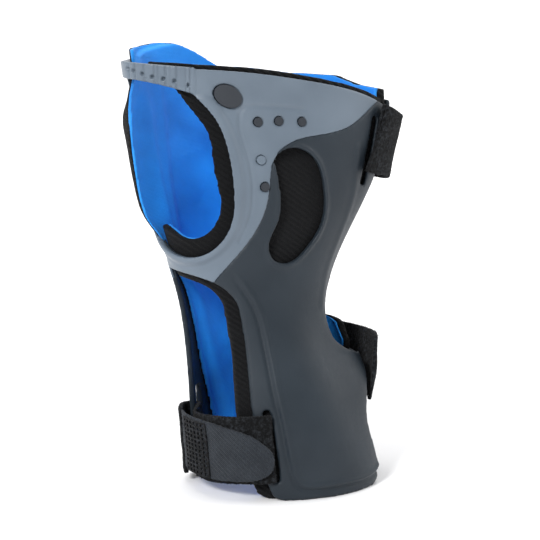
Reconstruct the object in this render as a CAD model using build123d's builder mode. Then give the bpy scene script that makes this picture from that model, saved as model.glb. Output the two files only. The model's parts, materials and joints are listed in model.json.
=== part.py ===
from build123d import *
import os
from math import cos, sin, radians, degrees, atan2, sqrt

os.makedirs("parts", exist_ok=True)

# Wrist splint standing on its forearm end: +Z towards the fingers, -X is the thumb side,
# +X the little-finger side, -Y the palm side and +Y the back of the hand. Millimetres.

# Overall sizes
hand_width = 122.0          # outside of the shell across the palm
splint_length = 186.0       # forearm end to the top of the palm rim, thumb side

# Layers, from the outside inwards
skin = 1.2                  # soft overmould, and the matching outer layer of the hard plates
core = 1.4                  # hard plate under the overmould
liner_gap = 0.15            # hard plate to liner
foam = 3.0                  # black foam liner
facing = 1.2                # blue inner facing of the liner
bar_rise = 1.4              # web bar standing out of the overmould
lip_rise = 0.8              # raised lip round the palm window
lip_width = 1.6

# Straps
strap = 1.8                 # loop webbing
under = 1.2                 # sewn-down underlayer and hook patches
hand_strap_width = 29.0
wrist_strap_width = 29.0
radial_strap_width = 30.0
slot_width = 3.2
slot_clearance = 0.6        # slot end to strap edge
strap_clearance = 0.45      # strap to plate, and strap to strap
strap_ease = 0.9            # extra round the little-finger side, where the shell swells

# Fastening pegs
peg_radius = 1.9
peg_rise = 0.5
peg_fit = 0.12
web_peg_half = (6.2, 4.5)

# Spine hinge
spine_gap = 0.4             # palm half to back half beside the hinge line
spine_slope = 6.0           # fall of the parting face towards the little-finger side, degrees
shell_depth = 120.0

plate = skin + core
lined = plate + liner_gap


def across(x):
    return x * hand_width / 122.0 - across_shift


def depth(y):
    return y - depth_shift


def along(z):
    return z * splint_length / 186.0


across_shift = 4.55         # brings the middle of the whole over the origin
depth_shift = -0.56

# Sections of the outside: height, middle across, middle in depth, half width, half depth
sections = [
    (-20.0, 10.8, -9.4, 42.4, 36.6),
    (0.0, 10.0, -9.0, 43.2, 37.1),
    (20.0, 8.6, -8.2, 43.6, 37.2),
    (41.0, 5.0, -6.0, 40.5, 35.0),
    (62.0, -0.6, -2.3, 35.4, 31.0),
    (83.0, -4.0, 1.0, 34.5, 28.5),
    (100.0, -3.4, 2.7, 39.6, 28.8),
    (117.0, -1.0, 4.0, 47.0, 30.0),
    (133.0, 1.8, 5.3, 53.8, 30.8),
    (150.0, 3.5, 7.0, 58.5, 31.0),
    (169.0, 3.6, 8.8, 60.8, 31.0),
    (188.0, 2.6, 9.9, 62.0, 31.4),
    (206.0, 1.4, 11.0, 62.2, 31.6),
]
stations = [
    (along(z), across(cx), depth(cy), a * hand_width / 122.0, b)
    for z, cx, cy, a, b in sections
]


def station(z):
    """Middle and half sizes of the outside at height z, smoothly between the stations."""
    place = 1
    while place < len(stations) - 3 and z > stations[place + 1][0]:
        place += 1
    before, low, high, after = stations[place - 1:place + 3]
    span = high[0] - low[0]
    share = (z - low[0]) / span
    sizes = []
    for p, q, r, s in zip(before[1:], low[1:], high[1:], after[1:]):
        rise_low = (r - p) / (high[0] - before[0]) * span
        rise_high = (s - q) / (after[0] - low[0]) * span
        sizes.append(q * (1 - share) ** 2 * (1 + 2 * share) + rise_low * share * (1 - share) ** 2
                     + r * share ** 2 * (3 - 2 * share) - rise_high * share ** 2 * (1 - share))
    return sizes


def sleeve(inset):
    """Solid inside the outer surface, moved inwards by inset."""
    with BuildPart() as body:
        for z, cx, cy, a, b in stations:
            with BuildSketch(Plane.XY.offset(z)):
                with Locations((cx, cy)):
                    Ellipse(a - inset, b - inset)
        loft()
    return body.part


def layer(outer, inner):
    """Closed tube between two depths below the outer surface."""
    return sleeve(outer) - sleeve(inner)


def flat(points):
    return [(across(x), along(z)) for x, z in points]


# Hinge line of the spine, up the thumb side just outside everything it joins
spine_low = Vector(across(-36.0), depth(3.5), along(24.0))
spine_high = Vector(across(-64.5), depth(11.0), along(190.0))
spine_axis = (spine_high - spine_low).normalized()
fall = radians(spine_slope)
parting_x = Vector(cos(fall), -sin(fall), 0)
parting_x = (parting_x - spine_axis * parting_x.dot(spine_axis)).normalized()
parting_up = spine_axis.cross(parting_x)
parting = Plane(origin=spine_low, x_dir=parting_x, z_dir=parting_up)

front = Plane.XZ.offset(-shell_depth / 2)
reach_through = shell_depth * 1.5
thumb_turn = radians(50)
thumb_start = 14.0          # the hole's prism starts this far out, clear of the far wall
thumb_side = Plane(
    origin=(-across_shift, -depth_shift, 0),
    x_dir=(cos(thumb_turn), -sin(thumb_turn), 0),
    z_dir=(-sin(thumb_turn), -cos(thumb_turn), 0),
)


def half_space(side):
    """Everything beyond the parting face: side 1 is the back of the hand, -1 the palm."""
    with BuildPart() as body:
        with BuildSketch(parting.offset(-side * spine_gap / 2)):
            Rectangle(500, 600)
        extrude(amount=200 * side)
    return body.part


# ---- outlines, seen from the palm side ----

palm_right_edge = [(44, 2), (43, 20), (40, 40), (37.5, 54)]
palm_waist_edge = [(33, 57.5), (25.5, 67), (23.5, 78), (31, 97), (41.5, 117), (60.5, 160)]
palm_top_edge = [(57, 167), (45, 172.5), (10, 181), (-14, 184.5), (-34, 186)]
palm_left_edge = [(-19.5, 84), (-17.5, 66), (-17, 38), (-9.5, 1.5)]
ring_foot_edge = [(-60, 104), (-43, 97.5), (-30, 94), (-19.5, 84)]


def palm_prism(grow_left=0.0, grow_right=0.0, grow_top=0.0):
    """Prism through the palm half's outline, with its edges moved outwards."""
    left = [(x - grow_left, z) for x, z in palm_left_edge]
    right = [(x + grow_right, z) for x, z in palm_right_edge]
    waist = [(x + grow_right, z) for x, z in palm_waist_edge]
    top = [(x, z + grow_top) for x, z in palm_top_edge]
    foot = [(x - grow_left * 0.4, z - grow_left * 0.5) for x, z in ring_foot_edge]
    foot[-1] = left[0]
    with BuildPart() as body:
        with BuildSketch(front):
            with BuildLine():
                Polyline(flat([left[-1], (left[-1][0] + 3, 0), (right[0][0] - 3, 0), right[0]]))
                Spline(flat(right))
                Polyline(flat([right[-1], waist[0]]))
                Spline(flat(waist))
                Polyline(flat([waist[-1], top[0]]))
                Spline(flat(top))
                Polyline(flat([top[-1], (-90, top[-1][1] + 3), (-90, foot[0][1]), foot[0]]))
                Spline(flat(foot))
                Spline(flat(left))
            make_face()
        extrude(amount=reach_through)
    return body.part


overmould_edge = [(62, 174), (47, 167), (34, 159.5), (17, 156.5), (4, 153.5), (-3, 147),
                  (-5.2, 136), (-8, 124), (-14, 113), (-22, 103), (-30, 92)]


def overmould_prism():
    """Thumb side and top of the palm half, bounded by one long curve."""
    with BuildPart() as body:
        with BuildSketch(front):
            with BuildLine():
                Spline(flat(overmould_edge))
                Polyline(flat([overmould_edge[-1], (-95, 88), (-95, 215), (75, 215), overmould_edge[0]]))
            make_face()
        extrude(amount=reach_through)
    return body.part


thumb_hole_edge = [(-20, 183), (-12, 174.5), (-5, 166), (0.8, 151), (3.6, 133), (1.8, 116.5),
                   (-7, 106.5), (-19, 104.5), (-31, 109), (-40, 122), (-45.5, 145), (-48, 166),
                   (-47, 185)]


def thumb_prism(shrink_right=0.0, shrink_left=0.0):
    """Thumb hole, seen squarely from outside it."""
    middle_u, middle_z = -18, 141
    turnover_u = -36
    points = []
    for u, z in thumb_hole_edge:
        shrink = shrink_right if u > turnover_u else shrink_left
        reach = sqrt((u - middle_u) ** 2 + (z - middle_z) ** 2)
        points.append((u - (u - middle_u) / reach * shrink, z - (z - middle_z) / reach * shrink))
    with BuildPart() as body:
        with BuildSketch(thumb_side.offset(thumb_start)):
            with BuildLine():
                Spline([(u * hand_width / 122.0, along(z)) for u, z in points], periodic=True)
            make_face()
        extrude(amount=reach_through)
    return body.part


window_edge = [(-1, 149.5), (8, 151.5), (16, 146.5), (20.5, 133), (19.5, 117), (12, 107),
               (3, 101.5), (-4.5, 104), (-6, 111), (-2, 120), (-0.8, 131), (-2.2, 142)]


def window_prism(grow=0.0):
    """Palm window, its edge moved outwards by grow."""
    middle_x, middle_z = 7.5, 127.0
    points = []
    for x, z in window_edge:
        reach = sqrt((x - middle_x) ** 2 + (z - middle_z) ** 2)
        points.append((x + (x - middle_x) / reach * grow, z + (z - middle_z) / reach * grow))
    with BuildPart() as body:
        with BuildSketch(front):
            with BuildLine():
                Spline(flat(points), periodic=True)
            make_face()
        extrude(amount=reach_through)
    return body.part


bar_floor = [(-36, 175.4), (-43, 177.5), (-50, 179.4), (-62, 181.5)]
bar_roof = [(-36, 186.7), (-47, 187.6), (-62, 188.6)]


def bar_prism():
    """Web bar over the thumb hole, from its palm end to beyond the spine."""
    with BuildPart() as body:
        with BuildSketch(front):
            with BuildLine():
                Spline(flat(bar_floor))
                Polyline(flat([bar_floor[-1], (-80, 182.5), (-80, 189.5), bar_roof[-1]]))
                Spline(flat(bar_roof))
                Polyline(flat([bar_roof[0], bar_floor[0]]))
            make_face()
        extrude(amount=reach_through)
    return body.part


bar_end = 23.0              # depth of the web bar's end on the back half

hand_slot_low = (42.3, 133.5)
hand_slot_high = (49.5, 162.5)
radial_slot_low = (-8.4, 8.6)
radial_slot_high = (-11.6, 39.0)


def slot_prism(low, high):
    """Strap slot from its lower to its upper end."""
    (x0, z0), (x1, z1) = flat([low, high])
    reach = sqrt((x1 - x0) ** 2 + (z1 - z0) ** 2)
    with BuildPart() as body:
        with BuildSketch(front):
            with Locations(((x0 + x1) / 2, (z0 + z1) / 2)):
                Rectangle(slot_width, reach + 2 * slot_clearance,
                          rotation=-degrees(atan2(x1 - x0, z1 - z0)))
        extrude(amount=reach_through)
    return body.part


def round_prism(places, half_wide, half_tall, tilt=0.0):
    """Rods towards the palm side through the given points of the outline view."""
    with BuildPart() as body:
        with BuildSketch(front):
            with Locations(flat(places)):
                Ellipse(half_wide, half_tall, rotation=tilt)
        extrude(amount=reach_through)
    return body.part


small_pegs_at = [(-9.8, 163.3), (-0.5, 163.5), (10.2, 162.8), (-7.6, 135.4), (-9.0, 147.0)]
web_peg_at = (-22.5, 174.5)


# ---- back half outlines ----

back_top_edge = [(-66, 188), (-46, 190), (-34, 190.5), (-20, 186), (-4, 177), (30, 172), (66, 168)]


def back_prism(top_edge, grow):
    """Back half seen from the palm side; only its top edge shows."""
    with BuildPart() as body:
        with BuildSketch(front):
            with BuildLine():
                Spline(flat([(x, z + grow) for x, z in top_edge]))
                Polyline(flat([(66, 168 + grow), (80, 166 + grow), (80, 0), (-80, 0),
                               (-80, 188 + grow), (-66, 188 + grow)]))
            make_face()
        extrude(amount=reach_through)
    return body.part


def back_edge_cut(grow):
    """Cut away from the back half on the little-finger side, seen from that side."""
    edge = [(-9, -5), (-8, 30), (-5, 58), (4, 72), (12, 84), (12, 100), (6, 122), (2, 150),
            (5, 176)]
    points = [(depth(y - grow), along(z)) for y, z in edge]
    with BuildPart() as body:
        with BuildSketch(Plane.YZ):
            with BuildLine():
                Spline(points)
                Polyline([points[-1], (points[-1][0], along(215)), (-90, along(215)), (-90, along(-5)),
                          points[0]])
            make_face()
        extrude(amount=100)
    return body.part


def radial_edge_cut(grow, lean):
    """Cut away from the back half on the thumb side below the ring, seen from that side."""
    edge = [(3.2, -5), (4.8, 38), (6.5, 70), (7.5, 88), (2, 97)]
    points = [(depth(y - grow + lean * (97 - z) / 100), along(z)) for y, z in edge]
    with BuildPart() as body:
        with BuildSketch(Plane.YZ):
            with BuildLine():
                Spline(points)
                Polyline([points[-1], (-90, along(97)), (-90, along(-5)), points[0]])
            make_face()
        extrude(amount=-100)
    return body.part


def across_prism(middle, wide, tall, lean=0.0):
    """Square rod from the middle out to the thumb side."""
    with BuildPart() as body:
        with BuildSketch(Plane.YZ):
            with Locations(middle):
                Rectangle(wide, tall, rotation=lean)
        extrude(amount=-100)
    return body.part


def ring_back_prism():
    """Soft strip down the thumb side of the back half, seen from the palm side."""
    with BuildPart() as body:
        with BuildSketch(front):
            with BuildLine():
                Spline(flat([(-40, 196), (-42, 176), (-41, 150), (-36, 122), (-31, 104), (-30, 92)]))
                Polyline(flat([(-30, 92), (-90, 92), (-90, 196), (-40, 196)]))
            make_face()
        extrude(amount=reach_through)
    return body.part


# ---- tools shared by several parts ----

back_side = half_space(1)
palm_side = half_space(-1)
overmould_zone = overmould_prism()
thumb_hole = thumb_prism()
bar_zone = bar_prism() - across_prism((depth(bar_end + 60), along(185)), 120, 60)
hand_slot = slot_prism(hand_slot_low, hand_slot_high)
radial_slot = slot_prism(radial_slot_low, radial_slot_high)
skin_room = layer(-3.0, skin)
skin_layer = layer(0, skin)
plate_layer = layer(0, plate)
bar_layer = layer(-bar_rise, plate)
foam_layer = layer(lined, lined + foam)
facing_layer = layer(lined + foam, lined + foam + facing)
small_peg_layer = layer(-peg_rise, skin)
web_peg_layer = layer(-peg_rise * 1.6, skin)
lip_layer = layer(-lip_rise, skin)


# ---- palm half ----

with BuildPart() as palm_shell:
    add(plate_layer)
    add(palm_prism(), mode=Mode.INTERSECT)
    add(back_side, mode=Mode.SUBTRACT)
    add(skin_room & overmould_zone, mode=Mode.SUBTRACT)
    add((lip_layer & window_prism(lip_width)) - back_side - overmould_zone)
    add(window_prism(), mode=Mode.SUBTRACT)
    add(hand_slot, mode=Mode.SUBTRACT)
    add(radial_slot, mode=Mode.SUBTRACT)
    add(bar_zone, mode=Mode.SUBTRACT)
    add(thumb_hole, mode=Mode.SUBTRACT)
palm_shell.part.label = "palm_shell"

with BuildPart() as palm_overmould:
    add(skin_layer)
    add(palm_prism(), mode=Mode.INTERSECT)
    add(overmould_zone, mode=Mode.INTERSECT)
    add(back_side, mode=Mode.SUBTRACT)
    add(bar_zone, mode=Mode.SUBTRACT)
    add(hand_slot, mode=Mode.SUBTRACT)
    add(thumb_hole, mode=Mode.SUBTRACT)
    add(round_prism(small_pegs_at, peg_radius + peg_fit, peg_radius + peg_fit),
        mode=Mode.SUBTRACT)
    add(round_prism([web_peg_at], web_peg_half[0] + peg_fit, web_peg_half[1] + peg_fit, -30),
        mode=Mode.SUBTRACT)
palm_overmould.part.label = "palm_overmould"

with BuildPart() as small_pegs:
    add(small_peg_layer)
    add(round_prism(small_pegs_at[:4], peg_radius, peg_radius), mode=Mode.INTERSECT)
    add(back_side, mode=Mode.SUBTRACT)
small_pegs.part.label = "small_pegs"

with BuildPart() as grey_peg:
    add(small_peg_layer)
    add(round_prism(small_pegs_at[4:], peg_radius, peg_radius), mode=Mode.INTERSECT)
    add(back_side, mode=Mode.SUBTRACT)
grey_peg.part.label = "grey_peg"

with BuildPart() as web_peg:
    add(web_peg_layer)
    add(round_prism([web_peg_at], *web_peg_half, -30), mode=Mode.INTERSECT)
    add(back_side, mode=Mode.SUBTRACT)
web_peg.part.label = "web_peg"


def groove_places(angles):
    """Planes square to the web bar's outside, at angles round the hand."""
    cx, cy, a, b = station(along(182))
    places = []
    for angle in angles:
        turn = radians(angle)
        outward = Vector(cos(turn) / a, -sin(turn) / b, 0).normalized()
        places.append(Plane(origin=(cx + a * cos(turn), cy - b * sin(turn), along(183)),
                            x_dir=(-outward.Y, outward.X, 0), z_dir=outward))
    return places


with BuildPart() as palm_web_bar:
    add(bar_layer)
    add(bar_zone, mode=Mode.INTERSECT)
    add(back_side, mode=Mode.SUBTRACT)
    with Locations(*groove_places([133, 140.5, 148, 156, 164.5])):
        Box(0.9, 40, 3.2, align=(Align.CENTER, Align.CENTER, Align.MIN), mode=Mode.SUBTRACT)
palm_web_bar.part.label = "palm_web_bar"

liner_outline = palm_prism(grow_left=4.8, grow_right=4.0, grow_top=2.0)
liner_thumb_hole = thumb_prism(shrink_right=8.0, shrink_left=-8.0)

with BuildPart() as palm_liner_foam:
    add(foam_layer)
    add(liner_outline, mode=Mode.INTERSECT)
    add(back_side, mode=Mode.SUBTRACT)
    add(liner_thumb_hole, mode=Mode.SUBTRACT)
palm_liner_foam.part.label = "palm_liner_foam"

with BuildPart() as palm_liner_facing:
    add(facing_layer)
    add(liner_outline, mode=Mode.INTERSECT)
    add(back_side, mode=Mode.SUBTRACT)
    add(liner_thumb_hole, mode=Mode.SUBTRACT)
palm_liner_facing.part.label = "palm_liner_facing"


# ---- back half ----

back_slot_at = (depth(10.4), along(22.0))
back_slot_lean = -4.2       # leans with the strap that goes through it, degrees
back_slot_size = (6.2, 38.0)    # across, upwards


def back_region(top_grow, edge_grow, radial_grow, lean=0.0):
    """Room taken by a piece of the back half."""
    room = back_prism(back_top_edge, top_grow) - palm_side
    room = room - back_edge_cut(edge_grow)
    return room - radial_edge_cut(radial_grow, lean)


back_zone = back_region(0, 0, 0)
back_liner_zone = back_region(4.5, 4.0, -1.5, lean=13.0)
ring_back_zone = ring_back_prism()

with BuildPart() as back_shell:
    add(plate_layer)
    add(back_zone, mode=Mode.INTERSECT)
    add(skin_room & ring_back_zone, mode=Mode.SUBTRACT)
    add(bar_zone, mode=Mode.SUBTRACT)
    add(thumb_hole, mode=Mode.SUBTRACT)
    add(across_prism(back_slot_at, *back_slot_size, back_slot_lean), mode=Mode.SUBTRACT)
back_shell.part.label = "back_shell"

with BuildPart() as back_overmould:
    add(skin_layer)
    add(back_zone, mode=Mode.INTERSECT)
    add(ring_back_zone, mode=Mode.INTERSECT)
    add(bar_zone, mode=Mode.SUBTRACT)
    add(thumb_hole, mode=Mode.SUBTRACT)
back_overmould.part.label = "back_overmould"

with BuildPart() as back_web_bar:
    add(bar_layer)
    add(bar_zone, mode=Mode.INTERSECT)
    add(palm_side, mode=Mode.SUBTRACT)
    with Locations(*groove_places([190, 198, 206])):
        Box(0.9, 40, 3.2, align=(Align.CENTER, Align.CENTER, Align.MIN), mode=Mode.SUBTRACT)
back_web_bar.part.label = "back_web_bar"

with BuildPart() as back_liner_foam:
    add(foam_layer)
    add(back_liner_zone, mode=Mode.INTERSECT)
back_liner_foam.part.label = "back_liner_foam"

with BuildPart() as back_liner_facing:
    add(facing_layer)
    add(back_liner_zone, mode=Mode.INTERSECT)
back_liner_facing.part.label = "back_liner_facing"


# ---- straps ----

def strap_plane(z_low, z_high, side):
    """Plane across a strap, square to the run of the shell's edge on that side."""
    low = station(z_low)
    high = station(z_high)
    middle = station((z_low + z_high) / 2)
    run = Vector(high[0] + side * high[2] - low[0] - side * low[2], high[1] - low[1],
                 z_high - z_low).normalized()
    level = Vector(1, 0, 0)
    level = (level - run * level.dot(run)).normalized()
    edge = Vector(middle[0] + side * middle[2], middle[1], (z_low + z_high) / 2)
    return Plane(origin=edge - level * (side * middle[2]), x_dir=level, z_dir=run), middle


def on_shell(half, angle, out):
    turn = radians(angle)
    return ((half[0] + out) * cos(turn), -(half[1] + out) * sin(turn))


def strip(plane, half, inner, outer, first, last, wide, root=False):
    """Strap following the outside between two angles, with a round root where it swings."""
    fan = [(0, 0)] + [on_shell((3 * half[0], 3 * half[1]), first + (last - first) * i / 12, 0)
                      for i in range(13)]
    with BuildPart() as body:
        with BuildSketch(plane):
            Ellipse(half[0] + outer, half[1] + outer)
            Ellipse(half[0] + inner, half[1] + inner, mode=Mode.SUBTRACT)
            with BuildLine():
                Polyline(fan, close=True)
            make_face(mode=Mode.INTERSECT)
            if root:
                with Locations(on_shell(half, first, (inner + outer) / 2)):
                    Circle((outer - inner) / 2)
        extrude(amount=wide / 2, both=True)
    return body.part


hand_plane, hand_mid = strap_plane(along(133.5), along(162.5), 1)
hand_half = (hand_mid[2] + strap_ease, hand_mid[3] + 2 * strap_ease)
hand_slot_angle = 41.0
hand_under_out = strap_clearance + under
hand_strap_in = hand_under_out + strap_clearance
hand_strap_out = hand_strap_in + strap

with BuildPart() as hand_strap_anchor:
    add(strip(hand_plane, hand_half, strap_clearance, hand_under_out, hand_slot_angle + 1, 27,
              hand_strap_width + 2))
hand_strap_anchor.part.label = "hand_strap_anchor"

with BuildPart() as hand_strap:
    add(strip(hand_plane, hand_half, hand_strap_in, hand_strap_out, hand_slot_angle, -78,
              hand_strap_width, root=True))
hand_strap.part.label = "hand_strap"

with BuildPart() as hand_strap_hook:
    add(strip(hand_plane, hand_half, hand_strap_in - under, hand_strap_in, -48, -77,
              hand_strap_width - 3))
hand_strap_hook.part.label = "hand_strap_hook"

wrist_mid = station(along(38.0))
wrist_plane = Plane(origin=(wrist_mid[0], wrist_mid[1], along(50.5)))
wrist_half = (wrist_mid[2] + strap_ease, wrist_mid[3] + strap_ease)
wrist_root_angle = 24.0
wrist_strap_in = strap_clearance + under
wrist_strap_out = wrist_strap_in + strap

with BuildPart() as wrist_strap:
    add(strip(wrist_plane, wrist_half, wrist_strap_in, wrist_strap_out, wrist_root_angle, -80,
              wrist_strap_width, root=True))
wrist_strap.part.label = "wrist_strap"

with BuildPart() as wrist_strap_hook:
    add(strip(wrist_plane, wrist_half, wrist_strap_in - under, wrist_strap_in, -50, -79,
              wrist_strap_width - 3))
wrist_strap_hook.part.label = "wrist_strap_hook"

radial_plane, radial_mid = strap_plane(along(4.5), along(34.5), -1)
radial_half = (radial_mid[2], radial_mid[3])
bar_room = 2.8              # fold to the bar it goes round, so that the shell can open
base_out = strap_clearance + strap / 2
fold_in = -plate - strap_clearance - strap / 2 - 0.2
fold_out = bar_room + strap / 2
tab_out = strap_clearance * 2 + strap + under / 2


def ribbon(plane, half, run, thick, wide, root=False):
    """Strap along a run of (angle, distance outside the shell)."""
    points = [on_shell(half, angle, out) for angle, out in run]
    with BuildPart() as body:
        with BuildSketch(plane):
            with BuildLine():
                Spline(points)
            trace(line_width=thick)
            if root:
                with Locations(points[0]):
                    Circle(thick / 2)
        extrude(amount=wide / 2, both=True)
    return body.part


def tab_prism():
    """Outline of the peel tab: it narrows to a round end."""
    top = [(-60, 34.5), (-36, 33.5), (-24, 31), (-15, 26.5), (-10.5, 20)]
    foot = [(-10.5, 20), (-13, 12.5), (-21, 9), (-36, 8), (-60, 7)]
    with BuildPart() as body:
        with BuildSketch(front):
            with BuildLine():
                Spline(flat(top))
                Spline(flat(foot))
                Polyline(flat([foot[-1], top[0]]))
            make_face()
        extrude(amount=reach_through)
    return body.part


with BuildPart() as radial_strap_base:
    add(ribbon(radial_plane, radial_half,
               [(115.3, 0.1), (116.6, 1.0), (118.8, base_out + 0.1), (124, base_out),
                (142, base_out), (162, base_out - 0.7), (180, base_out - 2.6),
                (193, fold_in + 0.2), (200, fold_in), (207, fold_in + 0.1), (211.2, -2.0),
                (211.5, 0.8), (208, fold_out - 0.3), (203, fold_out), (196, fold_out),
                (190, fold_out - 0.2)],
               strap, radial_strap_width))
radial_strap_base.part.label = "radial_strap_base"

tab_run = [(186.5, fold_out - 0.4), (178, tab_out), (160, tab_out), (142, tab_out),
           (126, tab_out), (108, tab_out)]

with BuildPart() as radial_strap_tab:
    add(ribbon(radial_plane, radial_half, tab_run, under, radial_strap_width, root=True))
    add(tab_prism(), mode=Mode.INTERSECT)
radial_strap_tab.part.label = "radial_strap_tab"

mesh_run = [(angle, out + under / 2 + 0.25) for angle, out in tab_run[1:4]]

with BuildPart() as radial_strap_mesh:
    add(ribbon(radial_plane, radial_half, mesh_run, 0.4, radial_strap_width - 7))
radial_strap_mesh.part.label = "radial_strap_mesh"

exports = [palm_shell, palm_overmould, small_pegs, grey_peg, web_peg, palm_web_bar,
           palm_liner_foam, palm_liner_facing, back_shell, back_overmould, back_web_bar,
           back_liner_foam, back_liner_facing, hand_strap_anchor, hand_strap, hand_strap_hook,
           wrist_strap, wrist_strap_hook, radial_strap_base, radial_strap_tab,
           radial_strap_mesh]
for item in exports:
    export_step(item.part, "parts/" + item.part.label + ".step")
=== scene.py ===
import json
import math

import bpy
import bmesh
import numpy as np
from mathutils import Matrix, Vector


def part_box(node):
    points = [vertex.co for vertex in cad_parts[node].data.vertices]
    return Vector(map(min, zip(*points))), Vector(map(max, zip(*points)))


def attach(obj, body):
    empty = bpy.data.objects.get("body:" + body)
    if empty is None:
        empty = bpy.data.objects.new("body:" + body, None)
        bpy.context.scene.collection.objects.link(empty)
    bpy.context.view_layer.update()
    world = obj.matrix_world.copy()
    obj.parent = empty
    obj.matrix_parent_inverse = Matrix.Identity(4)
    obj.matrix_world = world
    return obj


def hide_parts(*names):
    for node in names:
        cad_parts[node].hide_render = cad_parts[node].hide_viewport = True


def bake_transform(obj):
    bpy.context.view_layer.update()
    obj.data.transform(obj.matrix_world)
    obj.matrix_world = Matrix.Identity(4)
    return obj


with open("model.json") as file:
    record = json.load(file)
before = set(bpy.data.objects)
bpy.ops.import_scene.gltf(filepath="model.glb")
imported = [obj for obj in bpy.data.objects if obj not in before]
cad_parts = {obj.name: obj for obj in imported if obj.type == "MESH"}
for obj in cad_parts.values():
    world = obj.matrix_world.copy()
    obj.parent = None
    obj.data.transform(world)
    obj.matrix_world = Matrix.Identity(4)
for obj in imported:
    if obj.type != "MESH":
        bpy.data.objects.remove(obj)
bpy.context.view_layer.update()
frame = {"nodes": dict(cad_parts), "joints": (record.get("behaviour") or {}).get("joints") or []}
MM = 0.001

# ---------------------------------------------------------------- sections of the splint
# height, middle across, middle in depth, half width, half depth of the outside, mm
SECTIONS = [
    (-20, 10.8, -9.4, 42.4, 36.6),
    (0, 10.0, -9.0, 43.2, 37.1),
    (20, 8.6, -8.2, 43.6, 37.2),
    (41, 5.0, -6.0, 40.5, 35.0),
    (62, -0.6, -2.3, 35.4, 31.0),
    (83, -4.0, 1.0, 34.5, 28.5),
    (100, -3.4, 2.7, 39.6, 28.8),
    (117, -1.0, 4.0, 47.0, 30.0),
    (133, 1.8, 5.3, 53.8, 30.8),
    (150, 3.5, 7.0, 58.5, 31.0),
    (169, 3.6, 8.8, 60.8, 31.0),
    (188, 2.6, 9.9, 62.0, 31.4),
    (206, 1.4, 11.0, 62.2, 31.6),
]
ACROSS_SHIFT, DEPTH_SHIFT = 4.55, -0.56     # the drawing's own origin, seen from the row frame
HEIGHTS = np.array([s[0] for s in SECTIONS], float)
SIZES = np.array([s[1:] for s in SECTIONS], float) - np.array([ACROSS_SHIFT, DEPTH_SHIFT, 0, 0])
SLOPES = np.gradient(SIZES, HEIGHTS, axis=0)


def section(z):
    """Middle and half sizes of the outside at heights z, mm, smoothly between the sections."""
    z = np.clip(np.asarray(z, float), -19, 205)
    i = np.clip(np.searchsorted(HEIGHTS, z) - 1, 0, len(HEIGHTS) - 2)
    step = (HEIGHTS[i + 1] - HEIGHTS[i])[..., None]
    u = ((z - HEIGHTS[i])[..., None]) / step
    p, q = SIZES[i], SIZES[i + 1]
    m, n = SLOPES[i] * step, SLOPES[i + 1] * step
    return ((2 * u**3 - 3 * u**2 + 1) * p + (u**3 - 2 * u**2 + u) * m
            + (-2 * u**3 + 3 * u**2) * q + (u**3 - u**2) * n)


def steady(low, high, value):
    """0 at low and below, 1 at high and above, smoothly between; low may be above high."""
    share = np.clip((value - low) / (high - low), 0, 1)
    return share * share * (3 - 2 * share)


def around(co):
    """Angle round the middle in degrees, 0 at the little finger and 90 at the palm; distance outside, mm."""
    s = section(co[:, 2])
    x = (co[:, 0] - s[:, 0]) / s[:, 2]
    y = (co[:, 1] - s[:, 1]) / s[:, 3]
    angle = np.degrees(np.arctan2(-y, x)) % 360
    reach = np.hypot(x, y)
    turn = np.radians(angle)
    out = (reach - 1) * np.hypot(s[:, 2] * np.cos(turn), s[:, 3] * np.sin(turn))
    return angle, out


def on_shell(angle, z, out=0.0):
    """Points on the outside at angles and heights, moved outwards, mm."""
    s = section(z)
    turn = np.radians(angle)
    nx, ny = np.cos(turn) / s[..., 2], -np.sin(turn) / s[..., 3]
    n = np.hypot(nx, ny)
    x = s[..., 0] + s[..., 2] * np.cos(turn) + out * nx / n
    y = s[..., 1] - s[..., 3] * np.sin(turn) + out * ny / n
    return np.stack([x, y, np.broadcast_to(z, x.shape)], -1)


# ---------------------------------------------------------------- mesh helpers
def link(name, mesh):
    obj = bpy.data.objects.new(name, mesh)
    bpy.context.scene.collection.objects.link(obj)
    return obj


def settle(obj):
    """Applies every modifier on obj."""
    bpy.context.view_layer.update()
    graph = bpy.context.evaluated_depsgraph_get()
    made = bpy.data.meshes.new_from_object(obj.evaluated_get(graph))
    old = obj.data
    obj.modifiers.clear()
    obj.data = made
    bpy.data.meshes.remove(old)
    return obj


def fused(name, nodes, voxel, smooth=3, before=None):
    """One soft-edged skin over the given CAD nodes, whose points before() may move first."""
    build = bmesh.new()
    for node in nodes:
        build.from_mesh(frame["nodes"][node].data)
    bmesh.ops.remove_doubles(build, verts=build.verts, dist=1e-6)
    mesh = bpy.data.meshes.new(name)
    build.to_mesh(mesh)
    build.free()
    obj = link(name, mesh)
    if before:
        before(obj)
    remesh = obj.modifiers.new("remesh", "REMESH")
    remesh.mode = "VOXEL"
    remesh.voxel_size = voxel * MM
    remesh.use_smooth_shade = True
    if smooth:
        relax = obj.modifiers.new("relax", "SMOOTH")
        relax.factor = 0.5
        relax.iterations = smooth
    settle(obj)
    obj.data.shade_smooth()
    return obj


def coords(obj):
    co = np.zeros(len(obj.data.vertices) * 3)
    obj.data.vertices.foreach_get("co", co)
    return co.reshape(-1, 3) / MM


def normals(obj):
    no = np.zeros(len(obj.data.vertices) * 3)
    obj.data.vertices.foreach_get("normal", no)
    return no.reshape(-1, 3)


def put(obj, co):
    obj.data.vertices.foreach_set("co", (co * MM).ravel())
    obj.data.update()


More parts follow.
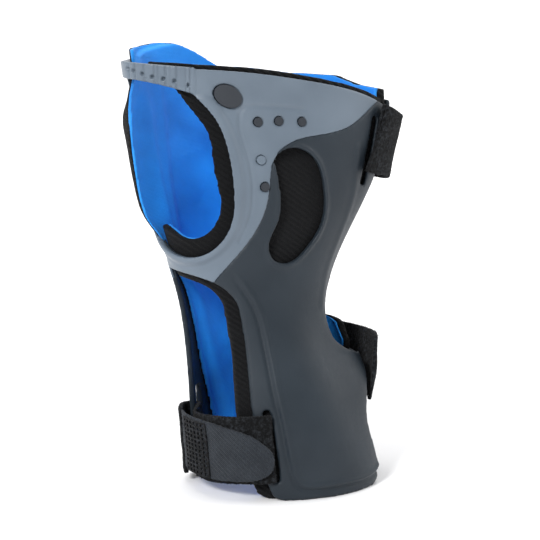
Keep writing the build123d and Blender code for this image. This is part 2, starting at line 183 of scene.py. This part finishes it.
def near_line(points, xz):
    """Distance from each point to a line of points, mm, and the side it is on."""
    best = np.full(len(xz), 1e9)
    side = np.zeros(len(xz))
    for (x0, z0), (x1, z1) in zip(points, points[1:]):
        d = np.array([x1 - x0, z1 - z0], float)
        rel = xz - np.array([x0, z0])
        share = np.clip(rel @ d / (d @ d), 0, 1)
        gap = rel - share[:, None] * d
        reach = np.hypot(gap[:, 0], gap[:, 1])
        closer = reach < best
        best = np.where(closer, reach, best)
        side = np.where(closer, np.sign(d[0] * rel[:, 1] - d[1] * rel[:, 0]), side)
    return best, side


def rounded(points, times=3):
    """Corner-cut copy of a line of points."""
    for _ in range(times):
        cut = [points[0]]
        for a, b in zip(points, points[1:]):
            cut.append((a[0] * 0.75 + b[0] * 0.25, a[1] * 0.75 + b[1] * 0.25))
            cut.append((a[0] * 0.25 + b[0] * 0.75, a[1] * 0.25 + b[1] * 0.75))
        cut.append(points[-1])
        points = cut
    return points


def ripple(co, size, seed=0.0):
    """Slow smooth waves, -1 to 1, about size mm across."""
    p = co / size
    return (np.sin(p[:, 0] * 1.3 + 2.1 * np.sin(p[:, 2] * 0.9 + seed) + seed)
            * np.cos(p[:, 1] * 1.1 - 1.7 * np.sin(p[:, 2] * 0.7 - seed) + 0.6 * p[:, 2]))


# ---------------------------------------------------------------- materials
def material(name, base, rough, metallic=0.0, **sockets):
    mat = bpy.data.materials.new(name)
    mat.use_nodes = True
    shader = mat.node_tree.nodes["Principled BSDF"]
    shader.inputs["Base Color"].default_value = (*base, 1)
    shader.inputs["Roughness"].default_value = rough
    shader.inputs["Metallic"].default_value = metallic
    for key, value in sockets.items():
        shader.inputs[key.replace("_", " ")].default_value = value
    return mat, mat.node_tree, shader


def node(tree, kind, **values):
    made = tree.nodes.new(kind)
    for key, value in values.items():
        if key in made.inputs:
            made.inputs[key].default_value = value
        else:
            setattr(made, key, value)
    return made


def ramp(tree, source, stops):
    made = tree.nodes.new("ShaderNodeValToRGB")
    while len(made.color_ramp.elements) < len(stops):
        made.color_ramp.elements.new(0.5)
    for element, (place, colour) in zip(made.color_ramp.elements, stops):
        element.position = place
        element.color = (*colour, 1)
    tree.links.new(source, made.inputs["Fac"])
    return made


def position(tree, scale=1.0):
    """Position on the object at rest, in millimetres over scale."""
    where = tree.nodes.new("ShaderNodeTexCoord")
    sized = node(tree, "ShaderNodeVectorMath", operation="SCALE")
    sized.inputs["Scale"].default_value = 1000.0 / scale
    tree.links.new(where.outputs["Object"], sized.inputs[0])
    return sized.outputs[0]


def noise(tree, vector, scale, detail=3.0, rough=0.5):
    made = node(tree, "ShaderNodeTexNoise", Scale=scale, Detail=detail, Roughness=rough)
    tree.links.new(vector, made.inputs["Vector"])
    return made.outputs["Fac"]


def bump(tree, shader, height, strength, distance, under=None):
    made = node(tree, "ShaderNodeBump", Strength=strength, Distance=distance)
    tree.links.new(height, made.inputs["Height"])
    if under is not None:
        tree.links.new(under.outputs["Normal"], made.inputs["Normal"])
    tree.links.new(made.outputs["Normal"], shader.inputs["Normal"])
    return made


def mixed(tree, factor, low, high):
    """Mix of two sockets or colours."""
    made = node(tree, "ShaderNodeMix", data_type="RGBA")
    tree.links.new(factor, made.inputs["Factor"])
    for slot, value in (("A", low), ("B", high)):
        socket = [s for s in made.inputs if s.name == slot and s.type == "RGBA"][0]
        if isinstance(value, tuple):
            socket.default_value = (*value, 1)
        else:
            tree.links.new(value, socket)
    return [s for s in made.outputs if s.type == "RGBA"][0]


def moulded(name, dark, light, rough, grain=1.0, **sockets):
    """Moulded plastic or elastomer: fine spark-eroded grain, scuffs and a slow change of shade."""
    mat, tree, shader = material(name, dark, rough, **sockets)
    mm = position(tree)
    slow = noise(tree, mm, 0.035, 2)
    fine = noise(tree, mm, 5.0, 2)
    scuff = noise(tree, mm, 0.6, 6, 0.7)
    tone = ramp(tree, slow, [(0.3, dark), (0.75, light)])
    worn = ramp(tree, scuff, [(0.55, (0, 0, 0)), (0.8, (0.35, 0.35, 0.35))])
    colour = mixed(tree, worn.outputs["Color"], tone.outputs["Color"], light)
    tree.links.new(colour, shader.inputs["Base Color"])
    gloss = ramp(tree, scuff, [(0.3, (rough - 0.06,) * 3), (0.8, (rough + 0.1,) * 3)])
    tree.links.new(gloss.outputs["Color"], shader.inputs["Roughness"])
    first = bump(tree, shader, fine, 0.22 * grain, 0.0002)
    bump(tree, shader, scuff, 0.08 * grain, 0.0005, under=first)
    return mat


def pile(name, dark, light, scale=2.2, strength=0.9, sheen=0.35, rib=None, stops=(0.35, 0.72)):
    """Brushed loop pile or hook tape: tangled fibres, optionally ribbed."""
    mat, tree, shader = material(name, dark, 0.92, Sheen_Weight=sheen, Sheen_Roughness=0.5,
                                 Specular_IOR_Level=0.2)
    mm = position(tree)
    fibre = node(tree, "ShaderNodeTexVoronoi", Scale=scale, feature="F1")
    tree.links.new(mm, fibre.inputs["Vector"])
    tangle = noise(tree, mm, scale * 0.8, 6, 0.75)
    broad = noise(tree, mm, 0.12, 3)
    tone = ramp(tree, tangle, [(stops[0], dark), (stops[1], light)])
    shade = mixed(tree, broad, tone.outputs["Color"], dark)
    tree.links.new(shade, shader.inputs["Base Color"])
    under = bump(tree, shader, tangle, strength, 0.0006)
    last = bump(tree, shader, fibre.outputs["Distance"], strength * 0.6, 0.0003, under=under)
    if rib:
        stripes = node(tree, "ShaderNodeTexWave", Scale=rib[0], Distortion=1.5, bands_direction="X")
        tree.links.new(ribbed(tree, mm, rib[1]), stripes.inputs["Vector"])
        bump(tree, shader, stripes.outputs["Fac"], rib[2], 0.0004, under=last)
    return mat


def ribbed(tree, vector, turn):
    """Turns a position about the depth axis, for slanting ribs."""
    made = node(tree, "ShaderNodeMapping")
    made.inputs["Rotation"].default_value = (0, math.radians(turn), 0)
    tree.links.new(vector, made.inputs["Vector"])
    return made.outputs["Vector"]


def knit(name, dark, light):
    """Smooth warp knit: small rows and columns, soft sheen."""
    mat, tree, shader = material(name, dark, 0.7, Sheen_Weight=0.12, Sheen_Roughness=0.4)
    mm = position(tree)
    rows = node(tree, "ShaderNodeTexWave", Scale=0.55, Distortion=0.6, bands_direction="Z")
    columns = node(tree, "ShaderNodeTexWave", Scale=0.5, Distortion=0.6, bands_direction="X")
    tree.links.new(mm, rows.inputs["Vector"])
    tree.links.new(mm, columns.inputs["Vector"])
    broad = noise(tree, mm, 0.03, 3)
    tangle = noise(tree, mm, 3.0, 4, 0.6)
    tone = ramp(tree, broad, [(0.3, dark), (0.7, light)])
    fine = ramp(tree, tangle, [(0.3, (0, 0, 0)), (0.8, (0.5, 0.5, 0.5))])
    colour = mixed(tree, fine.outputs["Color"], tone.outputs["Color"], light)
    tree.links.new(colour, shader.inputs["Base Color"])
    first = bump(tree, shader, rows.outputs["Fac"], 0.25, 0.0003)
    second = bump(tree, shader, columns.outputs["Fac"], 0.2, 0.0003, under=first)
    bump(tree, shader, tangle, 0.3, 0.0003, under=second)
    return mat


SHELL = moulded("shell_plastic", (0.013, 0.019, 0.026), (0.021, 0.029, 0.038), 0.46,
                Specular_IOR_Level=0.26)
SOFT = moulded("soft_overmould", (0.088, 0.116, 0.15), (0.125, 0.16, 0.2), 0.38, 0.8,
               Specular_IOR_Level=0.45)
PEG = moulded("peg_plastic", (0.012, 0.015, 0.021), (0.02, 0.025, 0.033), 0.36)
LINER = pile("black_liner", (0.0012, 0.0014, 0.0018), (0.009, 0.0098, 0.012), sheen=0.03,
             rib=(0.15, 55, 0.9))
BLUE = knit("blue_facing", (0.0, 0.14, 0.50), (0.004, 0.29, 0.86))
WEBBING = pile("loop_webbing", (0.001, 0.0012, 0.0016), (0.05, 0.056, 0.066), 0.85, 1.0, sheen=0.03,
               stops=(0.47, 0.68))
HOOK = pile("hook_tape", (0.012, 0.015, 0.02), (0.06, 0.072, 0.088), 2.6, 0.6, 0.08,
            rib=(0.55, 38, 0.6))


def dress(obj, mat):
    obj.data.materials.clear()
    obj.data.materials.append(mat)
    return obj


# ---------------------------------------------------------------- moulded lines and voxel sizes
FINE = 1.0
SHELL_VOXEL, RING_VOXEL, STRAP_VOXEL = 0.8 * FINE, 0.45 * FINE, 0.5 * FINE
FOAM_VOXEL, FACING_VOXEL = 0.9 * FINE, 0.6 * FINE
SKIN = -1.2                                # underside of the soft overmould, from the outside, mm
FOAM_OUTSIDE, FOAM_INSIDE = -2.75, -5.75

# lines on the palm half, across and up, mm
PANEL = rounded([(-24.6, 96), (-15.8, 82.4), (-13.4, 65.4), (-11.8, 46), (-9.8, 34), (-8.1, 20),
                 (-5.0, 8), (-0.6, 5), (12.4, 5), (36.5, 5), (40.5, 8)])
RIGHT_RIDGE = rounded([(34.5, 150), (33.5, 137), (32.1, 125.7), (25.2, 107.9), (18.8, 92.6),
                       (16.4, 80)])
THUMB_HOLE = rounded([(-20, 183), (-12, 174.5), (-5, 166), (0.8, 151), (3.6, 133), (1.8, 116.5),
                      (-7, 106.5), (-19, 104.5), (-31, 109), (-40, 122), (-45.5, 145), (-48, 166),
                      (-47, 185)], 2)
THUMB_TURN = math.radians(50)


def moved(obj, co, angle, out, turn=0.0, rise=0.0, lift=0.0):
    """Moves points round the shell by turn degrees, upwards by rise and outwards by lift, mm."""
    before = on_shell(angle, co[:, 2], out)
    after = on_shell(angle + turn, co[:, 2] + rise, out + lift)
    put(obj, co + after - before)


def slimmed(obj):
    """The little-finger side runs straighter from the wrist to the forearm end."""
    co = coords(obj)
    co[:, 0] -= 3.6 * steady(6, 34, co[:, 0]) * np.exp(-((co[:, 2] - 29) / 14) ** 2)
    put(obj, co)


def signed(angle):
    return (angle + 180) % 360 - 180


# ---------------------------------------------------------------- palm shell
palm = fused("palm_shell_skin", ["palm_shell"], SHELL_VOXEL)
co = coords(palm)
no = normals(palm)
angle, out = around(co)
outer = np.clip((out - SKIN) / 1.0, 0, 1) * (no[:, 1] < -0.05)
# raised panel with a ridge along its edge and a groove outside, fading out above its top
PANEL_STEP, PANEL_TOP = 0.6, 88
d, side = near_line(PANEL, co[:, [0, 2]])
rise = PANEL_STEP * (1 / (1 + np.exp(-side * d / 0.4)) + np.exp(-((side * d - 0.8) / 1.1) ** 2)
                     - np.exp(-((side * d + 1.2) / 0.8) ** 2))
above = np.maximum(co[:, 2] - PANEL_TOP, 0)
rise = rise * np.exp(-(above / 8) ** 2)
# soft ridge on the little-finger side of the window
d, side = near_line(RIGHT_RIDGE, co[:, [0, 2]])
rise = rise + 0.4 * np.exp(-(d / 1.8) ** 2)
put(palm, co + no * (rise * outer)[:, None])
# the corner below the waist turns outwards and up
co = coords(palm)
angle, out = around(co)
corner = steady(12, 54, co[:, 2]) * steady(66, 57, co[:, 2]) * steady(58, 14, angle)
peak = (np.exp(-((co[:, 0] - 33.5) / 2.4) ** 2)
        * steady(48, 54, co[:, 2]) * steady(62, 56, co[:, 2]))
moved(palm, co, angle, out, lift=5.5 * corner, rise=2.0 * peak)
slimmed(palm)
dress(palm, SHELL)
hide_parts("palm_shell")
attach(palm, "palm")

# ---------------------------------------------------------------- soft overmould and web bar
RING_NODES = ["palm_overmould", "back_overmould", "palm_web_bar", "back_web_bar"]
ring = fused("soft_ring", RING_NODES, RING_VOXEL, 2)
co = coords(ring)
no = normals(ring)
angle, out = around(co)
outer = np.clip((out + 0.9) / 0.7, 0, 1)
# a faint embossed line runs under the top rim and down beside the hole
EMBOSS = rounded([(6.5, 168), (-6.5, 169.6), (-18.6, 170.4), (-22.1, 168), (-22.6, 162),
                  (-21.2, 155), (-18.6, 147), (-17.1, 134), (-18.6, 122), (-23.6, 112)])
d, _ = near_line(EMBOSS, co[:, [0, 2]])
groove = 0.55 * np.exp(-(d / 0.8) ** 2) * (no[:, 1] < 0)
# a rounded bead runs round the thumb hole, with a shallow hollow behind it
u = ((co[:, 0] + ACROSS_SHIFT) * math.cos(THUMB_TURN)
     - (co[:, 1] + DEPTH_SHIFT) * math.sin(THUMB_TURN))
d, _ = near_line(THUMB_HOLE + THUMB_HOLE[:1], np.stack([u, co[:, 2]], -1))
bar = steady(173, 176, co[:, 2]) * steady(118, 124, angle)
bead = (1.5 * steady(5.5, 2.5, d) - 0.35 * np.exp(-((d - 8.5) / 1.8) ** 2)) * (1 - bar)
# the web bar is split into segments by narrow grooves, each with a small round hole
BAR_HOLES = [(-63.95, 5.66, 185.9), (-62.55, 2.36, 185.2), (-59.75, -1.84, 184.1),
             (-56.45, -5.44, 183.0), (-52.45, -8.64, 182.3), (-48.35, -11.24, 181.4),
             (-43.45, -13.94, 179.6)]
GROOVE_DEPTH, HOLE_DEPTH, HOLE_RADIUS = 0.6, 1.7, 1.15
cuts = np.zeros(len(co))
for x, y, z in BAR_HOLES:
    hole_angle = around(np.array([[x, y, z]], float))[0][0]
    s = section(np.array([z]))[0]
    per_degree = math.radians(1) * np.hypot(s[2] * math.sin(math.radians(hole_angle)),
                                            s[3] * math.cos(math.radians(hole_angle)))
    along_bar = (angle - hole_angle) * per_degree + 0.12 * (co[:, 2] - z)
    cuts = np.maximum(cuts, GROOVE_DEPTH * np.exp(-((along_bar + 1.1) / 0.45) ** 2))
    reach = np.hypot(along_bar, co[:, 2] - z + 0.3)
    cuts = np.maximum(cuts, HOLE_DEPTH * steady(HOLE_RADIUS, 0.5, reach))
puff = 0.35 * bar
# the palm end of the bar sinks into the overmould
bar_start = (steady(173, 175, co[:, 2]) * (angle > 112) * steady(142, 122, angle)
             * steady(0.1, 1.4, out))
moved(ring, co, angle, out, lift=(bead - groove + puff) * outer - 1.35 * bar_start)
smoothed = ring.modifiers.new("smoothed", "SMOOTH")
smoothed.factor = 0.5
smoothed.iterations = 3
settle(ring)
co = coords(ring)
angle, out = around(co)
moved(ring, co, angle, out, lift=-cuts * bar * outer)
dress(ring, SOFT)
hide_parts(*RING_NODES)
spine = next(j for j in frame["joints"] if j["name"] == "spine_open")
spine_axis = Vector(spine["axis"]).normalized()
spine_across = Vector((0, 1, 0)) - spine_axis * spine_axis.y
spine_across.normalize()
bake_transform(ring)

# ---------------------------------------------------------------- back shell
back = fused("back_shell_skin", ["back_shell"], SHELL_VOXEL)
slimmed(back)
dress(back, SHELL)
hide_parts("back_shell")
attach(back, "back")

# ---------------------------------------------------------------- pegs
for name in ("small_pegs", "web_peg", "grey_peg"):
    obj = frame["nodes"][name]
    obj.data.materials.clear()
    obj.data.materials.append(SOFT if name == "grey_peg" else PEG)
    edge = obj.modifiers.new("edge", "BEVEL")
    edge.width = 0.25 * MM
    edge.segments = 2
    edge.limit_method = "ANGLE"


# ---------------------------------------------------------------- liners
def soften(obj, amount, size, seed):
    """Slow unevenness of a soft piece, amount mm deep and size mm across."""
    co = coords(obj)
    put(obj, co + normals(obj) * (amount * ripple(co, size, seed))[:, None])


BAND = 3.0                                  # height of the bands in which an edge is looked for, mm
LEVELS = np.arange(-6, 206, BAND)
FAR = 60.0                                  # beyond every edge


def lowest_by_height(z, values):
    """The lowest of the values in each band of height."""
    band_of = np.clip(np.searchsorted(LEVELS, z), 0, len(LEVELS) - 1)
    lowest = np.full(len(LEVELS), FAR)
    np.minimum.at(lowest, band_of, values)
    return lowest


def back_liner_shape(obj, inner_skin):
    """The back liner swells through the thumb hole, flares at the wrist and stands above the rim."""
    co = coords(obj)
    angle, out = around(co)
    away = signed(angle)
    z = co[:, 2]
    # its thumb-side edge is pressed thin, with the blue facing rolled round it
    thumb = co[:, 0] < -12
    front = lowest_by_height(z[thumb], co[thumb, 1])
    front = np.convolve(np.pad(front, 2, mode="edge"), np.ones(5) / 5, "valid")
    edge = steady(5.5, 0.8, co[:, 1] - np.interp(z, LEVELS - BAND / 2, front)) * thumb
    press = 2.6 * edge**2
    if not inner_skin:
        press = press - (out - FOAM_INSIDE) * 0.9 * edge
    # beside the thumb hole it reaches further round and swells outwards
    tall = steady(98, 128, z) * steady(188, 160, z)
    stretch = 15 * steady(214, 183, angle) * tall * (angle > 100)
    bulge = steady(199, 174, angle - stretch) * tall * (angle > 100)
    # at the wrist its little-finger edge turns out past the plate's edge
    wrist = steady(46, 62, z) * steady(76, 69, z)
    past = 11 * steady(-20, 0, away) * wrist * (np.abs(away) < 60)
    flare = steady(-1, 6, away + past) * wrist * (np.abs(away) < 60)
    crown = steady(150, 172, z) * steady(-88, -62, away) * steady(-20, -42, away)
    fold_angle = 211 + (z - 150) * 0.1
    fold = (np.exp(-((angle - fold_angle) / 4) ** 2)
            * steady(95, 120, z) * steady(185, 165, z))
    if not inner_skin:
        co[:, 1] += 1.1 * edge
    moved(obj, co, angle, out, turn=past - stretch, rise=3.5 * crown,
          lift=press + 9.5 * bulge + 8 * flare - 0.9 * fold)


def palm_facing_shape(obj):
    """The blue facing of the palm liner stops short of the black foam's thumb-side edge."""
    co = coords(obj)
    z = co[:, 2]
    low = (z < 100) & (co[:, 0] < 10)
    rim = lowest_by_height(z[low], co[low, 0])
    edge = steady(6, 0.5, co[:, 0] - np.interp(z, LEVELS - BAND / 2, rim)) * low * steady(101, 96, z)
    co[:, 0] += 2.6 * edge
    co[:, 1] -= 0.9 * edge
    put(obj, co)


def drawn_back(obj, way):
    """The facing stops just short of the foam where the halves meet on the little-finger side."""
    co = coords(obj)
    angle, out = around(co)
    near = steady(16, 6, np.abs(signed(angle) - 1.5)) * steady(58, 46, co[:, 2])
    co[:, 1] += way * 0.9 * near
    put(obj, co)


def filled_out(obj):
    """The foam keeps its full thickness up to the little-finger edge of the forearm end."""
    co = coords(obj)
    angle, out = around(co)
    not_inside = out > FOAM_INSIDE + 0.3
    thin = (np.abs(signed(angle)) < 24) & (co[:, 2] < 45) & not_inside & (out < FOAM_OUTSIDE)
    moved(obj, co, angle, out, lift=np.where(thin, FOAM_OUTSIDE - out, 0.0))


LINER_SEEDS = {"palm": 0.0, "back": 1.7}
for side, seed in LINER_SEEDS.items():
    foam = fused(side + "_liner_black", [side + "_liner_foam"], FOAM_VOXEL, 2, filled_out)
    face = fused(side + "_liner_blue", [side + "_liner_facing"], FACING_VOXEL, 2)
    for obj in (foam, face):
        soften(obj, 0.2, 9, seed)
        soften(obj, 0.08, 3.4, seed)
        if side == "back":
            back_liner_shape(obj, obj is face)
        elif obj is face:
            palm_facing_shape(obj)
        if obj is face:
            drawn_back(obj, -1 if side == "palm" else 1)
        slimmed(obj)
    dress(foam, LINER)
    dress(face, BLUE)
    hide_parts(side + "_liner_foam")
    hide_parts(side + "_liner_facing")
    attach(foam, side)
    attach(face, side)


# ---------------------------------------------------------------- straps
def pile_surface(obj, amount, seed):
    """Tangled loops standing out of a strap."""
    co = coords(obj)
    rough = ripple(co, 0.34, seed) + ripple(co[:, [2, 0, 1]], 0.27, seed + 2)
    put(obj, co + normals(obj) * (amount * rough)[:, None])


STRAPS = [
    ("hand_strap_web", ["hand_strap"], WEBBING, "loop_webbing", "hand_strap"),
    ("hand_strap_grip", ["hand_strap_hook"], HOOK, "hook_tape", "hand_strap"),
    ("hand_strap_root", ["hand_strap_anchor"], WEBBING, "loop_webbing", "palm"),
    ("wrist_strap_web", ["wrist_strap"], WEBBING, "loop_webbing", "wrist_strap"),
    ("wrist_strap_grip", ["wrist_strap_hook"], HOOK, "hook_tape", "wrist_strap"),
    ("thumb_strap_web", ["radial_strap_base"], WEBBING, "loop_webbing", "palm"),
    ("thumb_strap_tab", ["radial_strap_tab"], HOOK, "hook_tape", "radial_tab"),
]
for name, nodes, mat, slot, body in STRAPS:
    obj = fused(name, nodes, STRAP_VOXEL, 2)
    soften(obj, 0.2, 6, 5)
    pile_surface(obj, 0.16 if mat is WEBBING else 0.05, 3)
    if name == "hand_strap_web":
        # its root lies along the leaning slot
        co = coords(obj)
        angle, out = around(co)
        root = steady(18, 41, signed(angle)) * steady(166, 134, co[:, 2])
        moved(obj, co, angle, out, turn=6.5 * root)
    if name == "thumb_strap_tab":
        # slanting ribs on its outer face
        co = coords(obj)
        angle, out = around(co)
        ribs = np.sin((co[:, 2] * 0.8 + (180 - angle) * 0.55) * 2 * math.pi / 1.9)
        top = steady(0.2, 0.6, out - 3.0)
        put(obj, co + normals(obj) * (0.13 * ribs * top)[:, None])
    if body == "wrist_strap":
        slimmed(obj)
    dress(obj, mat)
    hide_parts(*nodes)
    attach(obj, body)


THREAD_RADIUS = 0.13


def threads(name, spots, reach, body, seed):
    """Loose ends of thread standing out of a cut or sewn edge."""
    dice = np.random.default_rng(seed)
    build = bmesh.new()
    for spot in spots:
        spot = np.array(spot, float)
        way = dice.normal(size=3)
        way /= np.linalg.norm(way)
        bend = dice.normal(size=3) * 0.5
        side = np.cross(way, [0.3, 0.5, 0.8])
        side /= np.linalg.norm(side)
        other = np.cross(way, side)
        length = reach * dice.uniform(0.5, 1.3)
        rings = []
        for step in range(6):
            share = step / 5
            middle = spot + way * length * share + bend * share**2 * length * 0.6
            thick = THREAD_RADIUS * (1 - 0.5 * share)
            ring_points = [middle + thick * (math.cos(t) * side + math.sin(t) * other)
                           for t in (0, 2.09, 4.19)]
            rings.append([build.verts.new(point * MM) for point in ring_points])
        for first, second in zip(rings, rings[1:]):
            for k in range(3):
                build.faces.new((first[k], first[(k + 1) % 3], second[(k + 1) % 3], second[k]))
        build.faces.new(rings[0][::-1])
        build.faces.new(rings[-1])
    mesh = bpy.data.meshes.new(name)
    build.to_mesh(mesh)
    build.free()
    obj = link(name, mesh)
    dress(obj, WEBBING)
    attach(obj, body)
    return obj


def edge_spots(obj, axis, share, count, seed):
    """Points picked near the end of a piece along an axis."""
    co = coords(obj)
    along_axis = co @ np.array(axis, float)
    near = co[along_axis > np.quantile(along_axis, 1 - share)]
    dice = np.random.default_rng(seed)
    return near[dice.choice(len(near), count, replace=False)]


# name, strap, the edge's direction, share of the strap, count, length in mm, slot, body, seed
THREADS = [
    ("hand_strap_threads", "hand_strap_web", (0.2, -0.4, -1), 0.03, 26, 1.6, "loop_webbing",
     "hand_strap", 1),
    ("wrist_strap_threads", "wrist_strap_web", (0.2, -0.3, 1), 0.03, 22, 1.5, "loop_webbing",
     "wrist_strap", 2),
    ("thumb_strap_threads", "thumb_strap_web", (-0.3, 0, 1), 0.03, 24, 1.3, "loop_webbing",
     "palm", 3),
    ("thumb_tab_threads", "thumb_strap_tab", (-0.2, 0, -1), 0.02, 26, 1.4, "hook_tape",
     "radial_tab", 4),
]
for name, strap, way, share, count, length, slot, body, seed in THREADS:
    spots = edge_spots(bpy.data.objects[strap], way, share, count, seed)
    threads(name, spots, length, body, seed)

# perforated panel of the thumb strap's tab: strands with a square hole between every four
low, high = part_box("radial_strap_mesh")
node_mesh = frame["nodes"]["radial_strap_mesh"].data
panel_co = np.array([v.co for v in node_mesh.vertices]) / MM
panel_angle, panel_out = around(panel_co)
columns, rows = 6, 12
STRAND = 0.36               # width of a strand, as a share of the spacing
PANEL_SHARE = 0.62          # share of the CAD panel's length that is perforated
PANEL_MARGIN = 0.4
PANEL_THICKNESS = 0.55
panel_from = panel_angle.max() - PANEL_SHARE * (panel_angle.max() - panel_angle.min())
build = bmesh.new()
grid = []
for row in range(rows * 2 + 2):
    line = []
    for column in range(columns * 2 + 2):
        u = (column // 2 + STRAND * (column % 2)) / (columns + STRAND)
        v = (row // 2 + STRAND * (row % 2)) / (rows + STRAND)
        a = panel_from + u * (panel_angle.max() - panel_from)
        z = low.z / MM + PANEL_MARGIN + v * ((high.z - low.z) / MM - 2 * PANEL_MARGIN)
        near = np.argmin(np.abs(panel_angle - a) * 0.7 + np.abs(panel_co[:, 2] - z) * 0.3
                         - panel_out * 0.2)
        point = on_shell(np.array([a]), np.array([z]), np.array([panel_out[near] + 0.15]))[0]
        line.append(build.verts.new(point * MM))
    grid.append(line)
for row in range(rows * 2 + 1):
    for column in range(columns * 2 + 1):
        if row % 2 and column % 2:
            continue
        build.faces.new((grid[row][column], grid[row][column + 1], grid[row + 1][column + 1],
                         grid[row + 1][column]))
bmesh.ops.recalc_face_normals(build, faces=build.faces)
mesh = bpy.data.meshes.new("thumb_strap_mesh")
build.to_mesh(mesh)
build.free()
panel = link("thumb_strap_mesh", mesh)
thick = panel.modifiers.new("thick", "SOLIDIFY")
thick.thickness = PANEL_THICKNESS * MM
thick.offset = 0
settle(panel)
dress(panel, WEBBING)
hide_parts("radial_strap_mesh")
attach(panel, "radial_tab")

# ---------------------------------------------------------------- studio
FLOOR = material("floor", (0.93, 0.93, 0.94), 0.9)[0]
build = bmesh.new()
FLOOR_HALF = 40             # metres, so that its edge is never seen
FLOOR_DROP = 0.0002
bmesh.ops.create_grid(build, x_segments=2, y_segments=2, size=FLOOR_HALF)
mesh = bpy.data.meshes.new("floor")
build.to_mesh(mesh)
build.free()
floor = link("floor", mesh)
floor.data.materials.append(FLOOR)
floor.location.z = -FLOOR_DROP

# white surroundings, brighter behind the splint than in front
world = bpy.data.worlds.new("studio")
bpy.context.scene.world = world
world.use_nodes = True
tree = world.node_tree
where = tree.nodes.new("ShaderNodeTexCoord")
split = tree.nodes.new("ShaderNodeSeparateXYZ")
tree.links.new(where.outputs["Generated"], split.inputs[0])
behind = node(tree, "ShaderNodeMapRange")
behind.inputs["From Min"].default_value = -0.35
behind.inputs["From Max"].default_value = 0.45
behind.inputs["To Min"].default_value = 0.5
behind.inputs["To Max"].default_value = 1.05
tree.links.new(split.outputs["Y"], behind.inputs["Value"])
tree.links.new(behind.outputs["Result"], tree.nodes["Background"].inputs["Strength"])
tree.nodes["Background"].inputs["Color"].default_value = (1, 1, 1, 1)


def soft_sun(name, place, spread, power):
    """Even light from the direction of place, softened over spread degrees."""
    data = bpy.data.lights.new(name, "SUN")
    data.angle = math.radians(spread)
    data.energy = power
    obj = bpy.data.objects.new(name, data)
    bpy.context.scene.collection.objects.link(obj)
    obj.rotation_mode = "QUATERNION"
    obj.rotation_quaternion = (-Vector(place)).to_track_quat("-Z", "Y")


soft_sun("key", (-0.75, -0.6, 0.7), 14, 2.5)
soft_sun("side", (0.95, -0.3, 0.45), 25, 0.9)
soft_sun("top", (0.1, 0.35, 1.0), 45, 1.0)

CAMERA_AZIMUTH, CAMERA_ELEVATION, CAMERA_DISTANCE = -20.0, 10.0, 0.78
CAMERA_TARGET = Vector((-0.00455, 0.00056, 0.098))
CAMERA_LENS, SENSOR_WIDTH = 115.6, 36
PICTURE_WIDTH = 540
SHIFT_RIGHT, SHIFT_UP = 8, -8       # of the picture, in pixels of its width
a, e = math.radians(CAMERA_AZIMUTH), math.radians(CAMERA_ELEVATION)
backwards = Vector((math.sin(a) * math.cos(e), -math.cos(a) * math.cos(e), math.sin(e)))
camera_data = bpy.data.cameras.new("camera")
camera_data.lens = CAMERA_LENS
camera_data.sensor_width = SENSOR_WIDTH
camera_data.shift_x = SHIFT_RIGHT / PICTURE_WIDTH
camera_data.shift_y = SHIFT_UP / PICTURE_WIDTH
camera = bpy.data.objects.new("camera", camera_data)
bpy.context.scene.collection.objects.link(camera)
camera.location = CAMERA_TARGET + backwards * CAMERA_DISTANCE
camera.rotation_mode = "QUATERNION"
camera.rotation_quaternion = (-backwards).to_track_quat("-Z", "Y")
bpy.context.scene.camera = camera

bpy.context.scene.view_settings.view_transform = "Standard"
